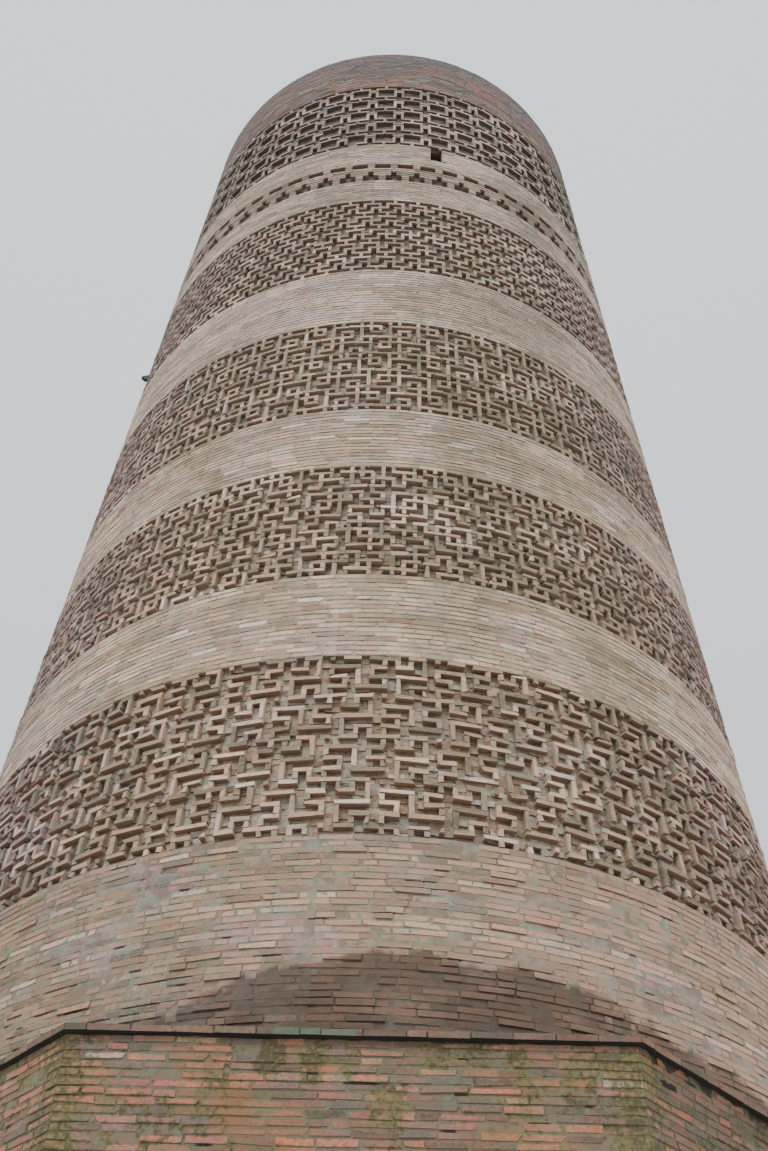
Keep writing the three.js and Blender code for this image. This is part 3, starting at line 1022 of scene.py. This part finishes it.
def shade_under_coping(board, colour):
    """Painted shadow just under the coping, partly a wet edge too, deeper and ragged right of the front side,
    and painted shade that dims the brickwork of the sides on the right."""
    beside = abs(board.azimuth - RAGGED_AZIMUTH).step(*RAGGED_ENDS)
    ragged = board.noise(9.0, 4.0, shift=6.0) - 0.42
    reach = ragged * (0.03 + 0.3 * beside) + 0.004
    mask = (reach - COPING_UNDERSIDE + board.z).step(-0.006, 0.006)
    side_shade = board.azimuth.step(*SHADED_SIDES) * board.azimuth.step(*SHADED_SIDES_BACK)
    return board.mix(board.shade(colour, 1.0 - 0.22 * side_shade), SHADOW_GAP, mask * 0.85)


def missing_brick_shade(board, colour):
    """Painted shade in the slot of a lost brick right of the front side."""
    along = board.x * math.cos(EIGHTH) + board.y * math.sin(EIGHTH)
    aside = abs(along - MISSING_BRICK[0] + (board.noise(30.0) - 0.5) * 0.06)
    level = abs(board.z - MISSING_BRICK[1] - 0.02 + (board.noise(26.0) - 0.5) * 0.04)
    mask = aside.step(0.085, 0.07) * level.step(0.026, 0.018)
    return board.mix(colour, SHADOW_GAP, mask)


def aged_and_shaded_left(board, colour):
    """Warmer brickwork low on the shaft and greyer higher up, and painted bluish shade on the left flank."""
    by_height = board.mix(LOW_TINT, HIGH_TINT, board.z.step(*AGED_HEIGHTS))
    left = board.azimuth.step(*LEFT_FLANK) * board.azimuth.step(*LEFT_FLANK_BACK)
    return board.tint(colour, by_height, LEFT_SHADE_TINT, left * board.z.step(*LEFT_FLANK_HEIGHTS))


def shaded_flanks(board, colour):
    """Painted shade: raised bricks and their ground get darker and less yellow towards both sides of the
    front.
    """
    aside = abs(board.azimuth)
    return board.tint(colour, WHITE, FLANK_SHADE_TINT, aside.step(*FLANK) * aside.step(*FLANK_BACK))


def lichen_and_shade(board, colour):
    """Olive growth in loose patches on the shaft, and more of it right of the front, which also paints the
    shade on that side.
    """
    broad = board.noise(0.55, 5.0, shift=20.0)
    side = (board.azimuth - LICHEN_SHADE_AZIMUTH).maths("COSINE").step(0.75, 1.0)
    side = side * board.z.step(*LICHEN_SHADE_HEIGHTS) * 0.13
    fine = board.noise(9.0, 4.0)
    mask = (broad + side + (fine - 0.5) * 0.35).step(0.52, 0.74)
    return board.mix(colour, LICHEN, mask * 0.5)


def weathered_top(board, colour):
    """Grey soot near the rim."""
    streaks = board.noise(1.4, 5.0, (1, 1, 3), 15.0)
    mask = (board.z + (streaks - 0.5) * 2.4).step(*SOOT_HEIGHTS)
    return board.mix(colour, SOOT, mask * 0.7)


def green_bricks(board, colour):
    """A few coping bricks turned green left of the front's middle."""
    mask = abs(board.azimuth - COPPER_AZIMUTH).step(*COPPER_ENDS)
    return board.mix(colour, COPPER_GREEN, mask * (0.55 + 0.4 * board.noise(14.0)))


def shaded_coping_sides(board, colour):
    """Painted shade on the coping's sides and undersides, where only its top sees the sky."""
    return board.mix(SHADOW_GAP, colour, facing_up(board).step(0.3, 0.8))


def shaded_inside(board, colour):
    """Painted shade in the well and the light holes, deeper in than the recessed ground."""
    reach = (board.x * board.x + board.y * board.y).maths("SQRT")
    mask = (face_radius(board.z) - reach).step(*INSIDE_SHADE_DEPTHS)
    return board.mix(colour, SHADOW_GAP, mask * 0.97)


def edge_distance(board):
    """Metres from a point on a brick's face to the nearest joint."""
    beside = board.mark("from_start").maths("MINIMUM", board.mark("from_end"))
    level = board.mark("from_bed").maths("MINIMUM", board.mark("from_top"))
    return beside.maths("MINIMUM", level)


def smeared_joints(board, colour, mortar, amount):
    """Mortar that laps over the bricks' rough edges."""
    ragged = (board.noise(26.0, 4.0, shift=2.0) - 0.5) * 0.065
    mask = (edge_distance(board) - ragged).step(0.005, -0.001)
    wash = board.noise(5.5, 7.0, (1, 1, 3), 8.0).step(0.52, 0.7) * 0.45
    return board.mix(colour, mortar, mask.maths("MAXIMUM", wash) * amount)


def speckled(board, colour, pale, amount):
    """Dark pits and pale grains."""
    spots = board.noise(34.0, 3.0, (1, 1, 1.4), 9.0)
    colour = board.mix(colour, PIT, spots.step(0.38, 0.27) * amount)
    return board.mix(colour, pale, spots.step(0.62, 0.74) * amount)


def tinted(board, colour, amount):
    """Warmer and greener patches, a hand's width across, over wider ones of ochre and grey."""
    patch = board.noise(5.5, 6.0, (1, 1, 2.2), 13.0).step(0.37, 0.63)
    colour = board.tint(colour, GREEN_TINT, WARM_TINT, patch, amount)
    patch = board.noise(2.2, 7.0, (1, 1, 2.0), 27.0).step(0.38, 0.62)
    return board.tint(colour, OCHRE_TINT, COOL_TINT, patch, amount)


def brick_finish(name, tones, layers, dust=0.1, fresh=NEW_BRICK, mortar=SHAFT_MORTAR, smear=0.8,
                 specks=0.45, tint=0.8, rough=0.006, underside_shade=UNDERSIDE_SHADE):
    board = Board(bpy.data.materials.new(name))
    tone = board.mark("tone")
    colour = board.node("ShaderNodeValToRGB", {"stops": tones}, {"Fac": tone})
    colour = board.mix(colour, fresh, board.mark("fresh") * 0.75)
    colour = board.tint(colour, OCHRE_TINT, COOL_TINT, (tone * 37.0).maths("FRACT"), tint)
    grain = board.noise(55.0, 4.0)
    blotch = board.noise(7.0, 3.0)
    colour = board.shade(colour, 0.2 + 1.0 * grain + 0.6 * blotch)
    broad = board.noise(0.8, 3.0, shift=5.0)
    colour = board.mix(colour, DUST, (broad + blotch * 0.5).step(0.45, 1.0) * dust)
    colour = smeared_joints(board, colour, mortar, smear)
    colour = tinted(board, speckled(board, colour, mortar, specks), tint)
    for layer in layers:
        colour = layer(board, colour)
    # Painted shade on down-facing faces, partly also their cleaner, less dusty brick
    colour = board.mix(colour, underside_shade, downward(board) * 0.9)
    height = grain * 0.5 + board.noise(22.0, 2.0) * 0.8
    return board.finish(colour, 0.92, height, rough)


def mortar_finish(name, base, layers, tint=0.8, underside_shade=UNDERSIDE_SHADE):
    board = Board(bpy.data.materials.new(name))
    lumps = board.noise(18.0, 4.0)
    fine = board.noise(90.0, 3.0)
    colour = tinted(board, board.shade(base, 0.35 + 0.8 * lumps + 0.5 * fine), tint)
    for layer in layers:
        colour = layer(board, colour)
    # Painted shade on the mortar's down-facing faces
    colour = board.mix(colour, underside_shade, downward(board) * 0.8)
    return board.finish(colour, 0.96, lumps * 0.5 + fine * 0.5, 0.006)


def metal_finish(name):
    board = Board(bpy.data.materials.new(name))
    wear = board.noise(24.0, 4.0)
    colour = board.mix(METAL, WORN_METAL, wear.step(0.4, 0.7))
    return board.finish(colour, 0.55, wear, 0.0008, 0.4)


def floor_finish(name):
    board = Board(bpy.data.materials.new(name))
    return board.finish(board.mix(FLOOR_GREY, FLOOR_PALE, board.noise(0.4, 2.0)), 0.9)


# Finishes
RELIEF_LAYERS = [lichen_and_shade, aged_and_shaded_left, shaded_flanks]
shaft_brick = brick_finish("shaft_brick", SHAFT_TONES, [lichen_and_shade, aged_and_shaded_left], smear=0.6, specks=0.3, tint=0.45)
foot_brick = brick_finish("foot_brick", FOOT_TONES, [rosy_and_shaded, damp_foot], fresh=NEW_FOOT_BRICK,
                          mortar=FOOT_MORTAR)
top_brick = brick_finish("top_brick", TOP_TONES, [weathered_top], fresh=NEW_TOP_BRICK, mortar=TOP_MORTAR)
raised_brick = brick_finish("raised_brick", RAISED_TONES, RELIEF_LAYERS, mortar=GROUND_MORTAR, smear=0.5,
                            tint=0.5)
# The upper bands' raised bricks, with paler painted shade under them
raised_high_brick = brick_finish("raised_high_brick", RAISED_TONES, RELIEF_LAYERS, mortar=GROUND_MORTAR,
                                 smear=0.4, tint=0.35, underside_shade=PALE_UNDERSIDE_SHADE)
raised_top_brick = brick_finish("raised_top_brick", RAISED_TOP_TONES, [aged_and_shaded_left], mortar=GROUND_MORTAR, smear=0.2,
                                tint=0.6, underside_shade=TOP_UNDERSIDE_SHADE)
ground_brick = brick_finish("ground_brick", GROUND_TONES, RELIEF_LAYERS, mortar=GROUND_MORTAR, specks=0.8,
                            tint=0.6, rough=0.015)
brown_ground_brick = brick_finish("brown_ground_brick", BROWN_GROUND_TONES, [aged_and_shaded_left], smear=0.0)
# The frieze's slot ground is dark with painted shade
shaded_slot_ground_brick = brick_finish("shaded_slot_ground_brick", SLOT_SHADE_TONES, [], dust=0.0, smear=0.0, specks=0.0)
plinth_brick = brick_finish("plinth_brick", PLINTH_TONES, [moss, shade_under_coping, missing_brick_shade], dust=0.05,
                            fresh=NEW_PLINTH_BRICK, mortar=PLINTH_MORTAR, tint=1.0)
coping_brick = brick_finish("coping_brick", COPING_TONES, [green_bricks], mortar=COPING_MORTAR,
                            underside_shade=SHADOW_GAP)
shaft_mortar = mortar_finish("shaft_mortar", SHAFT_MORTAR, [lichen_and_shade, aged_and_shaded_left, shaded_inside], tint=0.45)
foot_mortar = mortar_finish("foot_mortar", FOOT_MORTAR, [stained, shaded_open_foot_joints, damp_foot])
top_mortar = mortar_finish("top_mortar", TOP_MORTAR, [weathered_top])
plinth_mortar = mortar_finish("plinth_mortar", PLINTH_MORTAR,
                              [stained, moss, shaded_open_plinth_joints, shade_under_coping, missing_brick_shade])
coping_mortar = mortar_finish("coping_mortar", COPING_MORTAR, [shaded_coping_sides], underside_shade=SHADOW_GAP)
metal = metal_finish("dark_metal")

# CAD nodes carry the mortar and the recessed ground
NODE_FINISHES = [
    ("plinth", plinth_mortar), ("door", plinth_mortar), ("coping", coping_mortar), ("side_metal_box", metal),
    ("shaft_foot", foot_mortar), ("wall_head", top_mortar), ("rim_wall", top_mortar),
    ("platform_slab", top_mortar),
    ("", shaft_mortar),
]
for node_name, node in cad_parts.items():
    finish = next(choice for start, choice in NODE_FINISHES if node_name.startswith(start))
    node.data.materials.clear()
    node.data.materials.append(finish)

# Pieces
for side in range(8):
    plinth_bricks(side, plinth_brick)
entrance_bricks(plinth_brick)
coping_bricks(coping_brick)

mortar_skin("mortar_foot", PLINTH_TOP, FOOT_TOP, foot_mortar)
wall_bricks("wall_bricks_foot", PLINTH_TOP, FOOT_TOP, foot_brick, seed=11, share=0.35, ragged=worn_foot,
            height=FOOT_BRICK_HEIGHT, proud=0.0032)

# Plain zones, and the share of each that was laid anew
PLAIN_ZONES = [
    ("plain_band_1", 0.5), ("plain_band_2", 0.5), ("plain_band_3", 0.95), ("plain_band_4", 0.6),
    ("plain_band_5_left", 0.5),
]
for number, (node, share) in enumerate(PLAIN_ZONES, 1):
    mortar_skin(f"mortar_{number}", *heights(node), shaft_mortar)
    wall_bricks(f"wall_bricks_{number}", *heights(node), shaft_brick, seed=20 + number, share=share,
                rough=1.1 - 0.15 * number, proud=0.0045 + 0.0007 * number)

head_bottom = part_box("wall_head")[0].z
mortar_skin("mortar_head", head_bottom, RIM_TOP, top_mortar)
wall_bricks("wall_bricks_head", head_bottom, RIM_TOP, top_brick, seed=31, share=0.65, rough=0.6, proud=0.0075)

# Patterned bands: node, finishes of the raised bricks and of the ground, roughness, chart, rows, repeats,
# degrees to column 0, spread, shift of each repeat down, and columns of a narrow run
BANDS = [
    ("pattern_band_1", raised_brick, ground_brick, 1.0, BAND_1, 34, 29, 1.58, 0.0, 8, 1),
    ("pattern_band_2", raised_high_brick, ground_brick, 0.9, BAND_2, 29, 30, 0.65, 0.0155, 0, 1),
    ("pattern_band_3", raised_high_brick, ground_brick, 0.7, BAND_3, 31, 36, 0.96, 0.011, 0, 1),
    ("pattern_band_4", raised_high_brick, brown_ground_brick, 0.4, BAND_4, 31, 72, 1.30, 0.0, -2, 1),
    ("slot_frieze", raised_high_brick, shaded_slot_ground_brick, 0.2, FRIEZE, 9, 67, 1.14, 0.0, 0, 4),
    ("pattern_band_5", raised_top_brick, brown_ground_brick, 0.3, BAND_5, 36, 51, 2.40, 0.0, 0, 2),
]
for number, (node, raised, ground, rough, *pattern) in enumerate(BANDS):
    raised_bricks(node, raised, 50 + number, rough, *pattern)
    ground_bricks(node, ground, 70 + number, rough)

rim_bricks(top_brick)
platform_paving(top_brick)

# Floor and light
FLOOR_RADIUS = 16
FLOOR_LEVEL = -0.002
SKY = (0.93, 0.96, 1.0)
BELOW_HORIZON = (0.5, 0.49, 0.47)
SUNLIGHT = (1.0, 0.95, 0.88)

bpy.ops.object.select_all(action="DESELECT")
bpy.ops.mesh.primitive_circle_add(vertices=96, radius=FLOOR_RADIUS, fill_type="NGON",
                                  location=(0, 0, FLOOR_LEVEL))
floor = bpy.context.object
floor.name = "studio_floor"
floor.data.materials.append(floor_finish("studio_floor"))


def soft_sky():
    """An overcast sky, brighter overhead, over grey ground."""
    board = Board(bpy.data.worlds.new("soft_studio"), "Generated")
    colour = board.mix(BELOW_HORIZON, SKY, board.z.step(-0.12, 0.04))
    strength = board.z.step(0.0, 1.0) * 0.55 + 0.75
    light = board.node("ShaderNodeBackground", None, {"Color": colour, "Strength": strength})
    board.node("ShaderNodeOutputWorld", None, {"Surface": light}, output=None)
    return board.owner


bpy.context.scene.world = soft_sky()


def sun(name, azimuth, elevation, strength, spread):
    light = bpy.data.lights.new(name, "SUN")
    light.energy = strength
    light.angle = math.radians(spread)
    light.color = SUNLIGHT
    a, e = math.radians(azimuth), math.radians(elevation)
    towards = Vector((math.sin(a) * math.cos(e), -math.cos(a) * math.cos(e), math.sin(e)))
    placed(name, light).rotation_euler = towards.to_track_quat("Z", "Y").to_euler()


sun("key_light", azimuth=-25, elevation=58, strength=2.6, spread=35)
sun("fill_light", azimuth=75, elevation=50, strength=1.0, spread=60)
sun("back_light", azimuth=190, elevation=50, strength=1.5, spread=60)

# Camera: the photograph's eye, at the plinth's foot and looking up
FOCAL_PIXELS = 1400
FRAME_HEIGHT_PIXELS = 1151
SENSOR_WIDTH = 36
FURTHEST_SEEN = 200
CAMERA_DISTANCE = 12.20
CAMERA_AZIMUTH = math.radians(1.07)
CAMERA_PITCH = math.radians(46.36)
CAMERA_YAW = math.radians(-0.21)
CAMERA_ROLL = math.radians(1.72)


def photo_camera():
    """Stands in front of the tower, and is turned, tipped up and rolled from looking straight down."""
    lens = bpy.data.cameras.new("photo_camera")
    lens.sensor_width = SENSOR_WIDTH
    lens.lens = FOCAL_PIXELS * SENSOR_WIDTH / FRAME_HEIGHT_PIXELS
    lens.clip_end = FURTHEST_SEEN
    across, away = math.sin(CAMERA_AZIMUTH), math.cos(CAMERA_AZIMUTH)
    spot = Vector((CAMERA_DISTANCE * across, -CAMERA_DISTANCE * away, EYE_LEVEL))
    turn = Matrix.Rotation(CAMERA_AZIMUTH + CAMERA_YAW, 4, "Z")
    tip = Matrix.Rotation(math.radians(90) + CAMERA_PITCH, 4, "X")
    camera = placed("photo_camera", lens)
    camera.matrix_world = Matrix.Translation(spot) @ turn @ tip @ Matrix.Rotation(CAMERA_ROLL, 4, "Z")
    return camera


bpy.context.scene.camera = photo_camera()
